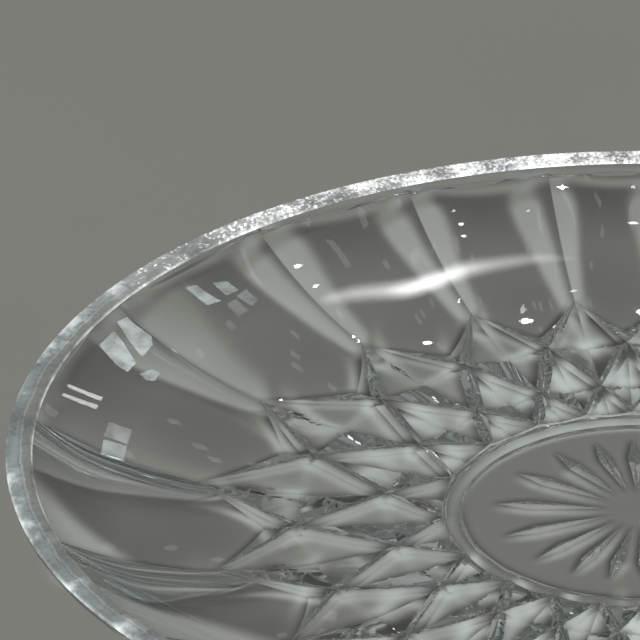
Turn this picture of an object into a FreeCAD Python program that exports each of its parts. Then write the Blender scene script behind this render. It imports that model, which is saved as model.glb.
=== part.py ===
import FreeCAD, Part
import Sketcher
import math
import os

# Shallow oval dish of clear pressed glass, one piece.
#
# Frame: origin at the centre of the foot's resting plane, +Z up, +X along the
# dish's long axis. Millimetres.
#
# The inside is plain and smooth. All of the pattern is on the outside:
#   - broad concave flutes round the wall, meeting in sharp ridges, each flute
#     ending in a low shoulder under the plain band at the rim;
#   - two families of mitre cuts (V grooves) that start where a ridge reaches
#     the underside and run inward to the foot, crossing to leave two rows of
#     diamonds;
#   - a low foot ring, and inside it a star of leaf-shaped cuts.
#
# Everything is worked out on a round blank of radius half_length and is then
# drawn in across Y by the factor aspect, which turns every circle into an
# ellipse of the dish's own proportion. The pattern is spaced by equal angles
# about the centre of the finished oval, so on the round blank the angles are
# opened out towards the ends of the long axis (see blank_angle).

os.makedirs("parts", exist_ok=True)
doc = FreeCAD.newDocument("dish")
Vector = FreeCAD.Vector

# ---------------------------------------------------------------- dimensions
# Radii are those of the round blank. Shares are fractions of 1.
SIZES = [
    ("half_length", 65.0),      # outer rim, half of the long axis
    ("aspect", 0.72),           # width over length
    ("height_all", 13.0),       # foot plane to the top of the rim
    ("rim_inner", 62.2),        # inner edge of the flat rim, on the long axis
    ("rim_side", 12.1),         # lower edge of the upright side of the rim
    ("rim_break", 0.35),        # small flats where the rim's edges are eased
    ("under_z", 0.9),           # plain underside above the foot plane
    ("under_r", 38.0),          # where the underside starts to turn up
    ("floor_z", 4.1),           # inside floor
    ("floor_r", 34.0),          # where the floor starts to turn up
    ("foot_outer", 20.4),
    ("foot_inner", 18.4),
    ("foot_top", 2.6),          # foot ring's root, buried in the floor
    ("foot_ease", 0.55),
    ("foot_spare", 0.4),        # trimmed off to leave a true flat to rest on
    ("flutes", 20),
    ("flute_sag", 1.05),        # deepest hollow below the line between ridges
    ("flute_even", -0.5),       # how the hollow changes with a flute's width
    ("flute_top", 63.0),        # where the flutes' shoulders stand
    ("flute_low", 19.5),        # where the flutes end, inside the foot's root
    ("flute_inset", 0.15),      # ridges stand this far inside the envelope
    ("tip_r", 45.9),            # ridge end: start of the mitre cuts
    ("first_cross", 35.8),      # first crossing, half a step on
    ("second_cross", 26.3),     # second crossing, one step on
    ("mitre_end", 19.3),        # cuts end inside the foot ring's root
    ("mitre_deep", 1.55),
    ("mitre_half", 5.6),        # from a cut's keel to where its flank dies away
    ("mitre_knee", 0.16),       # share of that width where the flank turns
    ("mitre_lift", 0.60),       # share of the depth left at the turn
    ("inset_low", 0.05),        # the same as flute_inset, among the diamonds
    ("star_rays", 18),
    ("star_outer", 15.1),
    ("star_inner", 3.0),
    ("star_wide", 11.2),        # radius at which a leaf is widest
    ("star_half", 0.80),
    ("star_deep", 0.75),
]
sheet = doc.addObject("Spreadsheet::Sheet", "Sizes")
for row, (alias, value) in enumerate(SIZES, start=1):
    sheet.set("A%d" % row, alias.replace("_", " "))
    sheet.set("B%d" % row, str(value))
    sheet.setAlias("B%d" % row, alias)
doc.recompute()
size = {alias: float(sheet.get(alias)) for alias, _ in SIZES}


# ---------------------------------------------------------- sketches, bodies
def start_body(name):
    """A body and an empty half section on its XZ plane: sketch Y is world Z."""
    body = doc.addObject("PartDesign::Body", name)
    body.Label = name.lower()
    sketch = body.newObject("Sketcher::SketchObject", name + "Profile")
    plane = next(item for item in body.Origin.OriginFeatures if item.Role == "XZ_Plane")
    sketch.AttachmentSupport = [(plane, "")]
    sketch.MapMode = "FlatFace"
    return body, sketch


def bind(sketch, name, kind, points, value, expression):
    """Adds a named dimension and ties it to the sheet."""
    index = sketch.addConstraint(Sketcher.Constraint(kind, *points, value))
    sketch.renameConstraint(index, name)
    sketch.setExpression("Constraints." + name, expression)


def bind_places(sketch, rows):
    """Dimensions from the origin: name, axis, element, its end, value, expression."""
    for name, axis, element, end, value, expression in rows:
        bind(sketch, name, "Distance" + axis, (-1, 1, element, end), value, expression)


def revolve(body, sketch):
    """Turns the half section a full circle about Z."""
    doc.recompute()
    revolution = body.newObject("PartDesign::Revolution", body.Name + "Revolution")
    revolution.Profile = sketch
    revolution.ReferenceAxis = (sketch, ["V_Axis"])
    revolution.Angle = 360.0
    body.Tip = revolution
    doc.recompute()


def line(r0, z0, r1, z1):
    return Part.LineSegment(Vector(r0, z0, 0), Vector(r1, z1, 0))


def sweep_radius(r0, z0, r1, z1):
    """Radius of the arc that leaves (r0, z0) level and reaches (r1, z1)."""
    return ((r1 - r0) ** 2 + (z1 - z0) ** 2) / (2.0 * (z1 - z0))


def sweep_arc(r0, z0, r1, z1):
    """The arc that leaves (r0, z0) level and rises to (r1, z1)."""
    radius = sweep_radius(r0, z0, r1, z1)
    centre = Vector(r0, z0 + radius, 0)
    end_angle = math.atan2(z1 - centre.y, r1 - centre.x)
    circle = Part.Circle(centre, Vector(0, 0, 1), radius)
    return Part.ArcOfCircle(circle, -math.pi / 2, end_angle)


# --------------------------------------------------------------- round blank
def make_blank():
    """Half section closed on the axis: flat underside, wall sweeping up to an
    upright rim side, flat rim with eased edges, and the smooth inside."""
    body, sketch = start_body("Blank")
    under_r, under_z = size["under_r"], size["under_z"]
    floor_r, floor_z = size["floor_r"], size["floor_z"]
    outer, inner = size["half_length"], size["rim_inner"]
    side_z, top = size["rim_side"], size["height_all"]
    ease = size["rim_break"]
    for item in [
        line(0, under_z, under_r, under_z),                 # 0 underside
        sweep_arc(under_r, under_z, outer, side_z),         # 1 outer wall
        line(outer, side_z, outer, top - ease),             # 2 rim side
        line(outer, top - ease, outer - ease, top),         # 3 eased edge
        line(outer - ease, top, inner + ease, top),         # 4 flat rim
        line(inner + ease, top, inner, top - ease),         # 5 eased edge
        sweep_arc(floor_r, floor_z, inner, top - ease),     # 6 inner wall
        line(floor_r, floor_z, 0, floor_z),                 # 7 floor
        line(0, floor_z, 0, under_z),                       # 8 axis
    ]:
        sketch.addGeometry(item, False)
    rule = Sketcher.Constraint
    sketch.addConstraint([
        rule("Coincident", 1, 2, 2, 1),
        rule("Coincident", 2, 2, 3, 1),
        rule("Coincident", 3, 2, 4, 1),
        rule("Coincident", 4, 2, 5, 1),
        rule("Coincident", 5, 2, 6, 2),
        rule("Coincident", 7, 2, 8, 1),
        rule("Coincident", 8, 2, 0, 1),
        rule("PointOnObject", 8, 1, -2),
        rule("PointOnObject", 8, 2, -2),
        rule("Horizontal", 0),
        rule("Horizontal", 4),
        rule("Horizontal", 7),
        rule("Vertical", 2),
        rule("Tangent", 0, 2, 1, 1),
        rule("Tangent", 7, 1, 6, 1),
    ])
    below_top = "Sizes.height_all - Sizes.rim_break"
    bind_places(sketch, [
        ("under_r", "X", 0, 2, under_r, "Sizes.under_r"),
        ("under_z", "Y", 0, 2, under_z, "Sizes.under_z"),
        ("outer_r", "X", 1, 2, outer, "Sizes.half_length"),
        ("side_z", "Y", 1, 2, side_z, "Sizes.rim_side"),
        ("rim_low", "Y", 2, 2, top - ease, below_top),
        ("rim_out", "X", 3, 2, outer - ease, "Sizes.half_length - Sizes.rim_break"),
        ("rim_top", "Y", 3, 2, top, "Sizes.height_all"),
        ("rim_flat", "X", 4, 2, inner + ease, "Sizes.rim_inner + Sizes.rim_break"),
        ("rim_in", "X", 5, 2, inner, "Sizes.rim_inner"),
        ("rim_in_low", "Y", 5, 2, top - ease, below_top),
        ("floor_r", "X", 7, 1, floor_r, "Sizes.floor_r"),
        ("floor_z", "Y", 7, 1, floor_z, "Sizes.floor_z"),
    ])
    revolve(body, sketch)
    if body.Shape.isNull() or not body.Shape.isValid():
        raise RuntimeError("the blank did not revolve")
    return body.Shape.Solids[0]


# ----------------------------------------------------------------- foot ring
def make_foot():
    """A low ring under the floor. Its root reaches into the floor, so it
    closes the inner ends of the mitre cuts."""
    body, sketch = start_body("Foot")
    outer, inner, top = size["foot_outer"], size["foot_inner"], size["foot_top"]
    ease, spare = size["foot_ease"], size["foot_spare"]
    corners = [
        (inner + ease, -spare),     # 0 spare length, trimmed off flat later
        (outer - ease, -spare),     # 1
        (outer - ease, 0),          # 2 eased edge
        (outer, ease),              # 3
        (outer, top),               # 4 root
        (inner, top),               # 5
        (inner, ease),              # 6 eased edge
        (inner + ease, 0),          # 7
    ]
    for start, end in zip(corners, corners[1:] + corners[:1]):
        sketch.addGeometry(line(*start, *end), False)
    rule = Sketcher.Constraint
    sketch.addConstraint(
        [rule("Coincident", i, 2, (i + 1) % 8, 1) for i in range(8)]
        + [rule("Horizontal", i) for i in (0, 4)]
        + [rule("Vertical", i) for i in (1, 3, 5, 7)]
        + [rule("PointOnObject", i, end, -1) for i, end in ((1, 2), (7, 1))]
    )
    bind_places(sketch, [
        ("rest_in", "X", 7, 1, inner + ease, "Sizes.foot_inner + Sizes.foot_ease"),
        ("rest_out", "X", 1, 2, outer - ease, "Sizes.foot_outer - Sizes.foot_ease"),
    ])
    bind(sketch, "spare", "DistanceY", (0, 2, 1, 2), spare, "Sizes.foot_spare")
    bind_places(sketch, [
        ("foot_out", "X", 2, 2, outer, "Sizes.foot_outer"),
        ("ease_out", "Y", 2, 2, ease, "Sizes.foot_ease"),
        ("foot_top", "Y", 3, 2, top, "Sizes.foot_top"),
        ("foot_in", "X", 4, 2, inner, "Sizes.foot_inner"),
        ("ease_in", "Y", 5, 2, ease, "Sizes.foot_ease"),
    ])
    revolve(body, sketch)
    return body.Shape.Solids[0]


# ------------------------------------------------------ envelope and spacing
WALL_RADIUS = sweep_radius(size["under_r"], size["under_z"],
                           size["half_length"], size["rim_side"])
STEP = 2.0 * math.pi / size["flutes"]


def wall_z(r):
    """Height of the outer wall's envelope, just outside the ridges."""
    if r <= size["under_r"]:
        return size["under_z"]
    run = r - size["under_r"]
    return size["under_z"] + WALL_RADIUS - math.sqrt(WALL_RADIUS ** 2 - run ** 2)


def wall_slope(r):
    """Angle of the envelope to the horizontal."""
    if r <= size["under_r"]:
        return 0.0
    return math.asin((r - size["under_r"]) / WALL_RADIUS)


def blank_angle(angle):
    """Angle on the round blank of a direction on the finished oval."""
    return math.atan2(math.sin(angle) / size["aspect"], math.cos(angle))


def near(reference, angle):
    """angle moved to within half a turn of reference."""
    while angle - reference > math.pi:
        angle -= 2 * math.pi
    while angle - reference < -math.pi:
        angle += 2 * math.pi
    return angle


def ridge(k):
    """Blank angle of ridge k; k may be a half, between two ridges."""
    return blank_angle(k * STEP)


def raised(z):
    return Vector(0, 0, z)


def directions(angle):
    """Unit vectors outward and sideways at an angle about Z."""
    return (Vector(math.cos(angle), math.sin(angle), 0),
            Vector(-math.sin(angle), math.cos(angle), 0))


# -------------------------------------------------------------------- flutes
# Sections of a flute: radius, share of the full hollow.
FLUTE_SECTIONS = [
    (size["flute_low"], 0.02),
    (28.0, 0.06),
    (37.0, 0.36),
    (46.0, 0.86),
    (54.0, 1.0),
    (60.0, 0.95),
    (size["flute_top"], 0.52),
]
INSET_START = 28.0      # radius where the inset begins to grow
INSET_RUN = 14.0        # radial distance over which it grows
FLUTE_OVERRUN = 1.12    # section half width over ridge half width
FLUTE_CLEAR = 3.5       # cutter's reach outward, clear of the glass


def flute_inset(r):
    """Depth of a flute's edges inside the wall, less among the diamonds."""
    t = min(max((r - INSET_START) / INSET_RUN, 0.0), 1.0)
    growth = size["flute_inset"] - size["inset_low"]
    return size["inset_low"] + growth * t * t * (3.0 - 2.0 * t)


def make_flute(k):
    """Loft through sections square to the wall, each an arc carried a little
    past the ridges at both sides and closed well outside the glass."""
    start = ridge(k)
    end = near(start, ridge(k + 1))
    half_angle = (end - start) / 2.0
    radial, side = directions((start + end) / 2.0)
    wires = []
    for r, share in FLUTE_SECTIONS:
        slope = wall_slope(r)
        normal = radial * math.sin(slope) + raised(-math.cos(slope))
        point = radial * r + raised(wall_z(r))
        half_width = r * math.tan(half_angle)
        # the round wall falls away from its tangent by this much at a ridge
        drop = half_width * half_width * math.sin(slope) / (2.0 * r)
        sag = size["flute_sag"] * share * (half_angle / (STEP / 2.0)) ** size["flute_even"]
        # circle through both ridges and the hollow's lowest point
        radius = (half_width * half_width + sag * sag) / (2.0 * sag)
        reach = half_width * FLUTE_OVERRUN
        rise = radius - math.sqrt(radius * radius - reach * reach)
        deep = point - normal * (drop + sag + flute_inset(r))
        left = deep - side * reach + normal * rise
        right = deep + side * reach + normal * rise
        out = normal * FLUTE_CLEAR
        wires.append(Part.Wire([
            Part.Arc(left, deep, right).toShape(),
            Part.LineSegment(right, right + out).toShape(),
            Part.LineSegment(right + out, left + out).toShape(),
            Part.LineSegment(left + out, left).toShape(),
        ]))
    return Part.makeLoft(wires, True, False)


# ---------------------------------------------------------------- mitre cuts
CUT_BELOW = 0.12        # cutters' flanks start this far below the surface
TIP_OVERRUN = 0.6       # a cut starts this far outside the ridge's end
END_TURN = 0.3          # share of the last half step that a cut runs on
FLANK_OVERRUN = 1.08    # cutter's half width over the cut's
MITRE_BASE = -2.0       # underside of the cutter


def unit(vector):
    vector.normalize()
    return vector


def make_mitre(k, way):
    """V cut from the end of ridge k to the foot, turning with the angle for
    way 1 and against it for way -1. It starts small and is full depth at the
    first crossing. Its flanks are steep at the keel and lie down further out,
    so that the glass left between the cuts stands as rounded diamonds."""
    tip = ridge(k)
    first, second, third = [near(tip, ridge(k + n * way)) for n in (0.5, 1.0, 1.5)]
    spread = abs(second - tip) / STEP
    # radius, angle, share of full depth, share of full width
    stations = [
        (size["tip_r"] + TIP_OVERRUN, tip, 0.15, 0.08),
        (size["first_cross"], first, 1.0, 1.0),
        (size["second_cross"], second, 0.95, 0.90),
        (size["mitre_end"], third + (third - second) * END_TURN, 0.80, 0.65),
    ]
    path = [Vector(r * math.cos(angle), r * math.sin(angle), 0)
            for r, angle, _, _ in stations]
    legs = [unit(end - start) for start, end in zip(path, path[1:])]
    headings = [legs[0], unit(legs[0] + legs[1]), unit(legs[1] + legs[2]), legs[2]]
    wires = []
    for point, ahead, (_, _, depth_share, width_share) in zip(path, headings, stations):
        side = Vector(-ahead.y, ahead.x, 0)
        half_width = size["mitre_half"] * width_share * spread ** 0.5
        surface = wall_z(math.hypot(point.x, point.y))
        depth = size["mitre_deep"] * depth_share
        knee = half_width * size["mitre_knee"]
        knee_z = surface + depth * size["mitre_lift"]
        edge = half_width * FLANK_OVERRUN
        edge_z = surface - CUT_BELOW
        outline = [(-edge, edge_z), (-knee, knee_z), (0, surface + depth),
                   (knee, knee_z), (edge, edge_z),
                   (edge, MITRE_BASE), (-edge, MITRE_BASE)]
        corners = [point + side * across + raised(z) for across, z in outline]
        wires.append(Part.makePolygon(corners + [corners[0]]))
    return Part.makeLoft(wires, True, True)


# ---------------------------------------------------------------------- star
def make_leaf(k):
    """Leaf-shaped cut: a long shallow pyramid, point upward at its widest."""
    half_step = math.pi / size["star_rays"]
    angle = blank_angle(2.0 * math.pi * k / size["star_rays"])
    between = near(angle, blank_angle(2.0 * math.pi * (k + 0.5) / size["star_rays"]))
    spread = abs(between - angle) / half_step
    radial, side = directions(angle)
    low = raised(size["under_z"] - CUT_BELOW)
    # widened, since the base lies below the glass
    grow = 1.0 + CUT_BELOW / size["star_deep"]
    half_width = size["star_half"] * grow * spread ** 0.5
    widest = radial * size["star_wide"]
    inner = radial * size["star_inner"] + low
    outer = radial * size["star_outer"] + low
    left = widest - side * half_width + low
    right = widest + side * half_width + low
    top = widest + raised(size["under_z"] + size["star_deep"])
    outlines = [
        (inner, left, top), (inner, top, right),
        (outer, top, left), (outer, right, top),
        (inner, right, outer, left),
    ]
    faces = [Part.Face(Part.makePolygon([*corners, corners[0]])) for corners in outlines]
    solid = Part.makeSolid(Part.makeShell(faces))
    if solid.Volume < 0:
        solid.reverse()
    return solid


# ---------------------------------------------------------------- round dish
def make_round_dish():
    """The blank with all of its cuts, and the foot ring joined on."""
    count = range(int(size["flutes"]))
    solid = make_blank()
    foot = make_foot()
    flutes = [make_flute(k) for k in count]
    cuts = [
        ("even flutes", flutes[0::2]),
        ("odd flutes", flutes[1::2]),
        ("mitres one way", [make_mitre(k, 1) for k in count]),
        ("mitres the other way", [make_mitre(k, -1) for k in count]),
        ("star", [make_leaf(k) for k in range(int(size["star_rays"]))]),
    ]
    for name, cutters in cuts:
        for cutter in cutters:
            if cutter.isNull() or not cutter.isValid() or cutter.Volume <= 0:
                raise RuntimeError("bad cutter in " + name)
        before = solid.Volume
        solid = solid.cut(cutters)
        if len(solid.Solids) != 1 or not solid.isValid() or solid.Volume >= before:
            raise RuntimeError(name + " cut failed")
    solid = solid.fuse(foot)
    if len(solid.Solids) != 1 or not solid.isValid():
        raise RuntimeError("foot fuse failed")
    return solid.Solids[0]


# ----------------------------------------------------------------- oval dish
def make_oval_dish():
    """The round dish drawn in across Y, its foot trimmed flat at Z = 0."""
    draw_in = FreeCAD.Matrix()
    draw_in.A22 = size["aspect"]
    oval = make_round_dish().transformGeometry(draw_in)
    reach = 2 * size["half_length"]
    trim_depth = 5.0
    below = Part.makeBox(2 * reach, 2 * reach, trim_depth,
                         Vector(-reach, -reach, -trim_depth))
    oval = oval.cut(below)
    if len(oval.Solids) != 1 or not oval.isValid():
        raise RuntimeError("trimming the foot failed")
    return oval.Solids[0]


dish = doc.addObject("Part::Feature", "GlassDish")
dish.Label = "glass_dish"
dish.Shape = make_oval_dish()
doc.recompute()

# ----------------------------------------------------------- check and write
for item in doc.Objects:
    if "Invalid" in item.State or "Error" in item.State:
        raise RuntimeError("failed object: %s %s" % (item.Name, item.State))
if dish.Shape.isNull() or not dish.Shape.isValid() or len(dish.Shape.Solids) != 1:
    raise RuntimeError("glass_dish is not one valid solid")
dish.Shape.exportStep("parts/glass_dish.step")
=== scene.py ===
"""A shallow oval dish of pressed clear glass on a matt table.

The dish stands on z = 0, centred on the origin, with its long axis along X and its bowl
opening towards +Z. Flutes, crossing mitre cuts, a foot ring and a star shape its underside.
"""
import math
import bpy
import numpy as np
from mathutils import Matrix, Vector
from mathutils.geometry import delaunay_2d_cdt


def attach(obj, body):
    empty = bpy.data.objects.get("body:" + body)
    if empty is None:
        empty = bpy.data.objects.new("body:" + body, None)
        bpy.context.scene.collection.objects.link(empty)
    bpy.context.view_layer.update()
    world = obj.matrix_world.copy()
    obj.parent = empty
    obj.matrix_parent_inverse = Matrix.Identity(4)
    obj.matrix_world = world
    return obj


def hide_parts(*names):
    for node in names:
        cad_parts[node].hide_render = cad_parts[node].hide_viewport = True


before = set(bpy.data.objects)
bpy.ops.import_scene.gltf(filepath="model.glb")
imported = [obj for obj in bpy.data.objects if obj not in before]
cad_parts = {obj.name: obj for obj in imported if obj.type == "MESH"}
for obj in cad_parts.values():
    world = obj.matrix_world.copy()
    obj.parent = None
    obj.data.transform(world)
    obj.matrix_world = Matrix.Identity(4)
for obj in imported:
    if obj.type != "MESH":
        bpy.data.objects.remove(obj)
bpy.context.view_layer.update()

# ============================================================ sizes of the dish
# Millimetres. Radii are those of a round blank, which is drawn in across Y by ASPECT.
BLANK_R = 65.0
ASPECT = 0.72
HEIGHT = 13.0
RIM_IN = 62.2                   # where the eased inner edge meets the bowl
RIM_SIDE = 12.1                 # height where the underside meets the plain side
EASE = 0.35                     # rounding of the rim's edges
UNDER_Z, UNDER_R = 0.9, 38.0    # underside: height of its flat middle, start of its curve
FLOOR_Z, FLOOR_R = 4.1, 34.0    # bowl: height of its flat floor, start of its curve
FOOT_OUT, FOOT_IN = 20.4, 18.4

FLUTES = 20
FLUTE_TOP, FLUTE_LOW = 63.0, 19.5
FLUTE_SAG = 1.05                # extra depth along a flute's middle
INSET, INSET_LOW = 0.15, 0.05   # depth of the ridges between flutes, outside and inside

TIP_R, CROSS1, CROSS2, CROSS3, MITRE_END = 45.9, 35.8, 26.3, 21.3, 19.3
MITRE_DEEP, MITRE_HALF = 1.55, 5.6
KNEE, LIFT = 0.16, 0.60         # where a flank turns, as shares of its width and depth

RAYS = 18
STAR_IN, STAR_WIDE, STAR_OUT = 3.0, 11.2, 15.1
STAR_HALF, STAR_DEEP = 0.80, 0.75


def arc_radius(run, rise):
    """Radius of an arc that leaves the flat level and rises by rise over run."""
    return (run ** 2 + rise ** 2) / (2 * rise)


UNDER_ARC = arc_radius(BLANK_R - UNDER_R, RIM_SIDE - UNDER_Z)
BOWL_ARC = arc_radius(RIM_IN - FLOOR_R, HEIGHT - EASE - FLOOR_Z)
STEP = 2 * math.pi / FLUTES
ABSENT = -9.0                   # height of a surface where it doesn't exist

# key lamp: azimuth 0 is +Y and 90 is +X
KEY_AZIMUTH, KEY_ELEVATION = 162.0, 38.0


# ====================================================== surfaces of the underside
def blank_angle(angle):
    """Angle on the round blank of a direction on the oval."""
    return math.atan2(math.sin(angle) / ASPECT, math.cos(angle))


def unwrap(base, angle):
    """The angle, moved by whole turns to within half a turn of base."""
    while angle - base > math.pi:
        angle -= 2 * math.pi
    while angle - base < -math.pi:
        angle += 2 * math.pi
    return angle


def ridge(k):
    return blank_angle(k * STEP)


def polar(radius, angle):
    return np.array([radius * math.cos(angle), radius * math.sin(angle)])


def wall_z(r):
    """Height of the uncut underside."""
    run = np.clip(np.asarray(r, float) - UNDER_R, 0, None)
    return UNDER_Z + UNDER_ARC - np.sqrt(np.clip(UNDER_ARC ** 2 - run ** 2, 1e-6, None))


def spline(stations, values):
    """Natural cubic through the points, as a function."""
    xs, ys = np.array(stations, float), np.array(values, float)
    count = len(xs)
    gaps = np.diff(xs)
    system = np.zeros((count, count))
    target = np.zeros(count)
    system[0, 0] = system[-1, -1] = 1.0
    for i in range(1, count - 1):
        system[i, i - 1:i + 2] = gaps[i - 1], 2 * (gaps[i - 1] + gaps[i]), gaps[i]
        target[i] = 6 * ((ys[i + 1] - ys[i]) / gaps[i] - (ys[i] - ys[i - 1]) / gaps[i - 1])
    bend_at = np.linalg.solve(system, target)

    def value(x):
        x = np.clip(x, xs[0], xs[-1])
        i = np.clip(np.searchsorted(xs, x) - 1, 0, count - 2)
        past, left = x - xs[i], xs[i + 1] - x
        gap = gaps[i]
        return ((bend_at[i] * left ** 3 + bend_at[i + 1] * past ** 3) / (6 * gap)
                + (ys[i] / gap - bend_at[i] * gap / 6) * left
                + (ys[i + 1] / gap - bend_at[i + 1] * gap / 6) * past)
    return value


# share of FLUTE_SAG at each radius
sag_share = spline([FLUTE_LOW, 28.0, 37.0, 46.0, 54.0, 60.0, FLUTE_TOP],
                   [0.02, 0.06, 0.36, 0.86, 1.0, 0.95, 0.52])


def smoothstep(x):
    x = np.clip(x, 0, 1)
    return x * x * (3 - 2 * x)


def uncut(x, y):
    r = np.hypot(x, y)
    return np.where(r < FLUTE_LOW, UNDER_Z, wall_z(r))


def flute_span(k):
    start = ridge(k)
    return start, unwrap(start, ridge(k + 1))


def make_flute(k):
    """Surface of the hollow flute between ridges k and k + 1."""
    start, end = flute_span(k)
    middle, half = (start + end) / 2, (end - start) / 2
    cos_mid, sin_mid, tan_half = math.cos(middle), math.sin(middle), math.tan(half)

    def height(x, y):
        out = x * cos_mid + y * sin_mid
        across = -x * sin_mid + y * cos_mid
        half_width = np.maximum(out * tan_half, 0.5)
        share = across / half_width
        sin_slope = np.clip((out - UNDER_R) / UNDER_ARC, 0, 0.95)
        cos_slope = np.sqrt(1 - sin_slope ** 2)
        chord = half_width * half_width * sin_slope / (2 * np.maximum(out, 1.0))
        inset = INSET_LOW + (INSET - INSET_LOW) * smoothstep((out - 28.0) / 14.0)
        sag = FLUTE_SAG * sag_share(out) * (half / (STEP / 2)) ** -0.5
        z = wall_z(out) + (chord + inset + sag * (1 - share * share)) / cos_slope
        plain = wall_z(np.hypot(x, y))
        fade = 1 - smoothstep((out - (FLUTE_TOP - 0.45)) / 0.6)
        return plain + (z - plain) * fade

    def patch(x, y):
        angle = np.arctan2(y, x)
        inside = (angle >= start - 0.06) & (angle <= end + 0.06)
        return np.where(inside & (np.hypot(x, y) > FOOT_IN), height(x, y), ABSENT)
    return patch


def make_mitre(k, way):
    """A V cut from ridge k inwards, to one side (way): its surface, keel and half widths."""
    angle0 = ridge(k)
    angle1, angle2, angle3 = (unwrap(angle0, ridge(k + i * way)) for i in (0.5, 1.0, 1.5))
    spread = abs(angle2 - angle0) / STEP
    angle_end = angle3 + (angle3 - angle2) * 0.3
    keel = [polar(radius, angle) for radius, angle in (
        (TIP_R + 0.6, angle0), (CROSS1, angle1), (CROSS2, angle2), (MITRE_END, angle_end))]
    depth = [MITRE_DEEP * share for share in (0.15, 1.0, 0.95, 0.80)]
    width = [MITRE_HALF * share * spread ** 0.5 for share in (0.08, 1.0, 0.90, 0.65)]
    keel_z = [float(wall_z(np.hypot(*p))) + deep for p, deep in zip(keel, depth)]

    def cut(x, y):
        best = np.full(np.shape(x), ABSENT)
        for i in range(3):
            start, end = keel[i], keel[i + 1]
            length = float(np.hypot(*(end - start)))
            along = (end - start) / length
            dx, dy = x - start[0], y - start[1]
            run = dx * along[0] + dy * along[1]
            across = -dx * along[1] + dy * along[0]
            low = 0.0 if i == 0 else -1.2
            high = length + (1.2 if i < 2 else 0.0)
            share = run / length
            deep = depth[i] + (depth[i + 1] - depth[i]) * share
            wide = np.maximum(width[i] + (width[i + 1] - width[i]) * share, 0.02)
            u = np.minimum(np.abs(across) / wide, 1.0)
            left = np.where(u < KNEE, LIFT + (1 - LIFT) * (1 - u / KNEE),
                            LIFT * ((1 - u) / (1 - KNEE)) ** 1.12)
            z = keel_z[i] + (keel_z[i + 1] - keel_z[i]) * share - deep * (1 - left)
            z = np.where((run < low) | (run > high) | (u >= 1.0), ABSENT, z)
            best = np.maximum(best, z)
        return best
    return cut, keel, width


def mitre_patch(cut):
    """The cut, kept to the outside of the foot's inner edge."""
    return lambda x, y: np.where(np.hypot(x, y) > FOOT_IN + 0.3, cut(x, y), ABSENT)


def make_leaf(k):
    """One leaf of the star: its surface, outline and the middle of its widest line."""
    angle = blank_angle(2 * math.pi * k / RAYS)
    next_angle = unwrap(angle, blank_angle(2 * math.pi * (k + 0.5) / RAYS))
    spread = abs(next_angle - angle) / (math.pi / RAYS)
    half = STAR_HALF * spread ** 0.5
    cos_a, sin_a = math.cos(angle), math.sin(angle)

    def patch(x, y):
        out = x * cos_a + y * sin_a
        across = -x * sin_a + y * cos_a
        rise = np.minimum((out - STAR_IN) / (STAR_WIDE - STAR_IN),
                          (STAR_OUT - out) / (STAR_OUT - STAR_WIDE))
        z = UNDER_Z + STAR_DEEP * rise - np.abs(across) * (STAR_DEEP / half)
        return np.where(np.hypot(x, y) < FOOT_IN, z, ABSENT)
    corners = [(STAR_IN, 0), (STAR_WIDE, -half), (STAR_OUT, 0), (STAR_WIDE, half)]
    outline = [(s * cos_a - n * sin_a, s * sin_a + n * cos_a) for s, n in corners]
    return patch, outline, polar(STAR_WIDE, angle)


def foot_share(r):
    """1 on the foot's resting face, 0 off it, with eased edges and steep sides."""
    rise_in = (r - (FOOT_IN - 0.05)) / 0.62
    rise_out = ((FOOT_OUT + 0.05) - r) / 0.62
    rise = np.clip(np.minimum(rise_in, rise_out), 0, 1)
    return np.sqrt(np.clip(1 - (1 - rise) ** 2.2, 0, 1))


# every surface that reaches into the first quarter; the highest one shows
mitres = [make_mitre(k, way) for k in range(-3, 9) for way in (1, -1)]
leaves = [make_leaf(k) for k in range(-1, 6)]
fluted = [uncut] + [make_flute(k) for k in range(-1, 6)]
patches = fluted + [mitre_patch(cut) for cut, _, _ in mitres] + [leaf[0] for leaf in leaves]


def heights(surfaces, x, y):
    return np.stack([surface(x, y) for surface in surfaces])


def under(x, y):
    """Height of the finished underside, foot included."""
    z = np.full(np.shape(x), ABSENT)
    for patch in patches:
        z = np.maximum(z, patch(x, y))
    return z * (1 - foot_share(np.hypot(x, y)))


# ==================================== lines that the mesh follows, in the first quarter
N_ARC = 150                 # steps round a quarter of the rim
BAND_R = 64.2               # circle above the flutes
FOOT_CLEAR = FOOT_OUT + 0.12
CUT_GAP = 0.42              # spacing of points along the cuts
lines = []


def add_line(points):
    lines.append(np.array(points, float))


def add_arc(radius, count):
    turn = np.linspace(0, math.pi / 2, count + 1)
    add_line(np.stack([radius * np.cos(turn), radius * np.sin(turn)], -1))


def resample(points, gap):
    points = np.array(points, float)
    result = [points[0]]
    for start, end in zip(points[:-1], points[1:]):
        count = max(1, int(round(np.hypot(*(end - start)) / gap)))
        for i in range(1, count + 1):
            result.append(start + (end - start) * i / count)
    return np.array(result)


def clip_quarter(points):
    """Pieces of a polyline inside the first quarter, finely resampled."""
    points = resample(points, 0.02)
    inside = (points[:, 0] >= -1e-9) & (points[:, 1] >= -1e-9)
    runs, run = [], []
    for point, kept in zip(points, inside):
        if kept:
            run.append(point)
        elif run:
            runs.append(np.array(run))
            run = []
    if run:
        runs.append(np.array(run))
    return [run for run in runs if len(run) > 10]


def thin(points, gap):
    """Keeps points of a fine polyline about gap apart, with both its ends."""
    result = [points[0]]
    for point in points[1:-1]:
        if np.hypot(*(point - result[-1])) >= gap:
            result.append(point)
    if np.hypot(*(points[-1] - result[-1])) < gap * 0.4 and len(result) > 1:
        result.pop()
    result.append(points[-1])
    return np.array(result)


def add_clipped(points, gap):
    """Adds a polyline's pieces inside the quarter, snapped to the axes they touch."""
    for run in clip_quarter(points):
        run = thin(run, gap)
        run[np.abs(run) < 0.03] = 0.0
        add_line(run)


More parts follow.
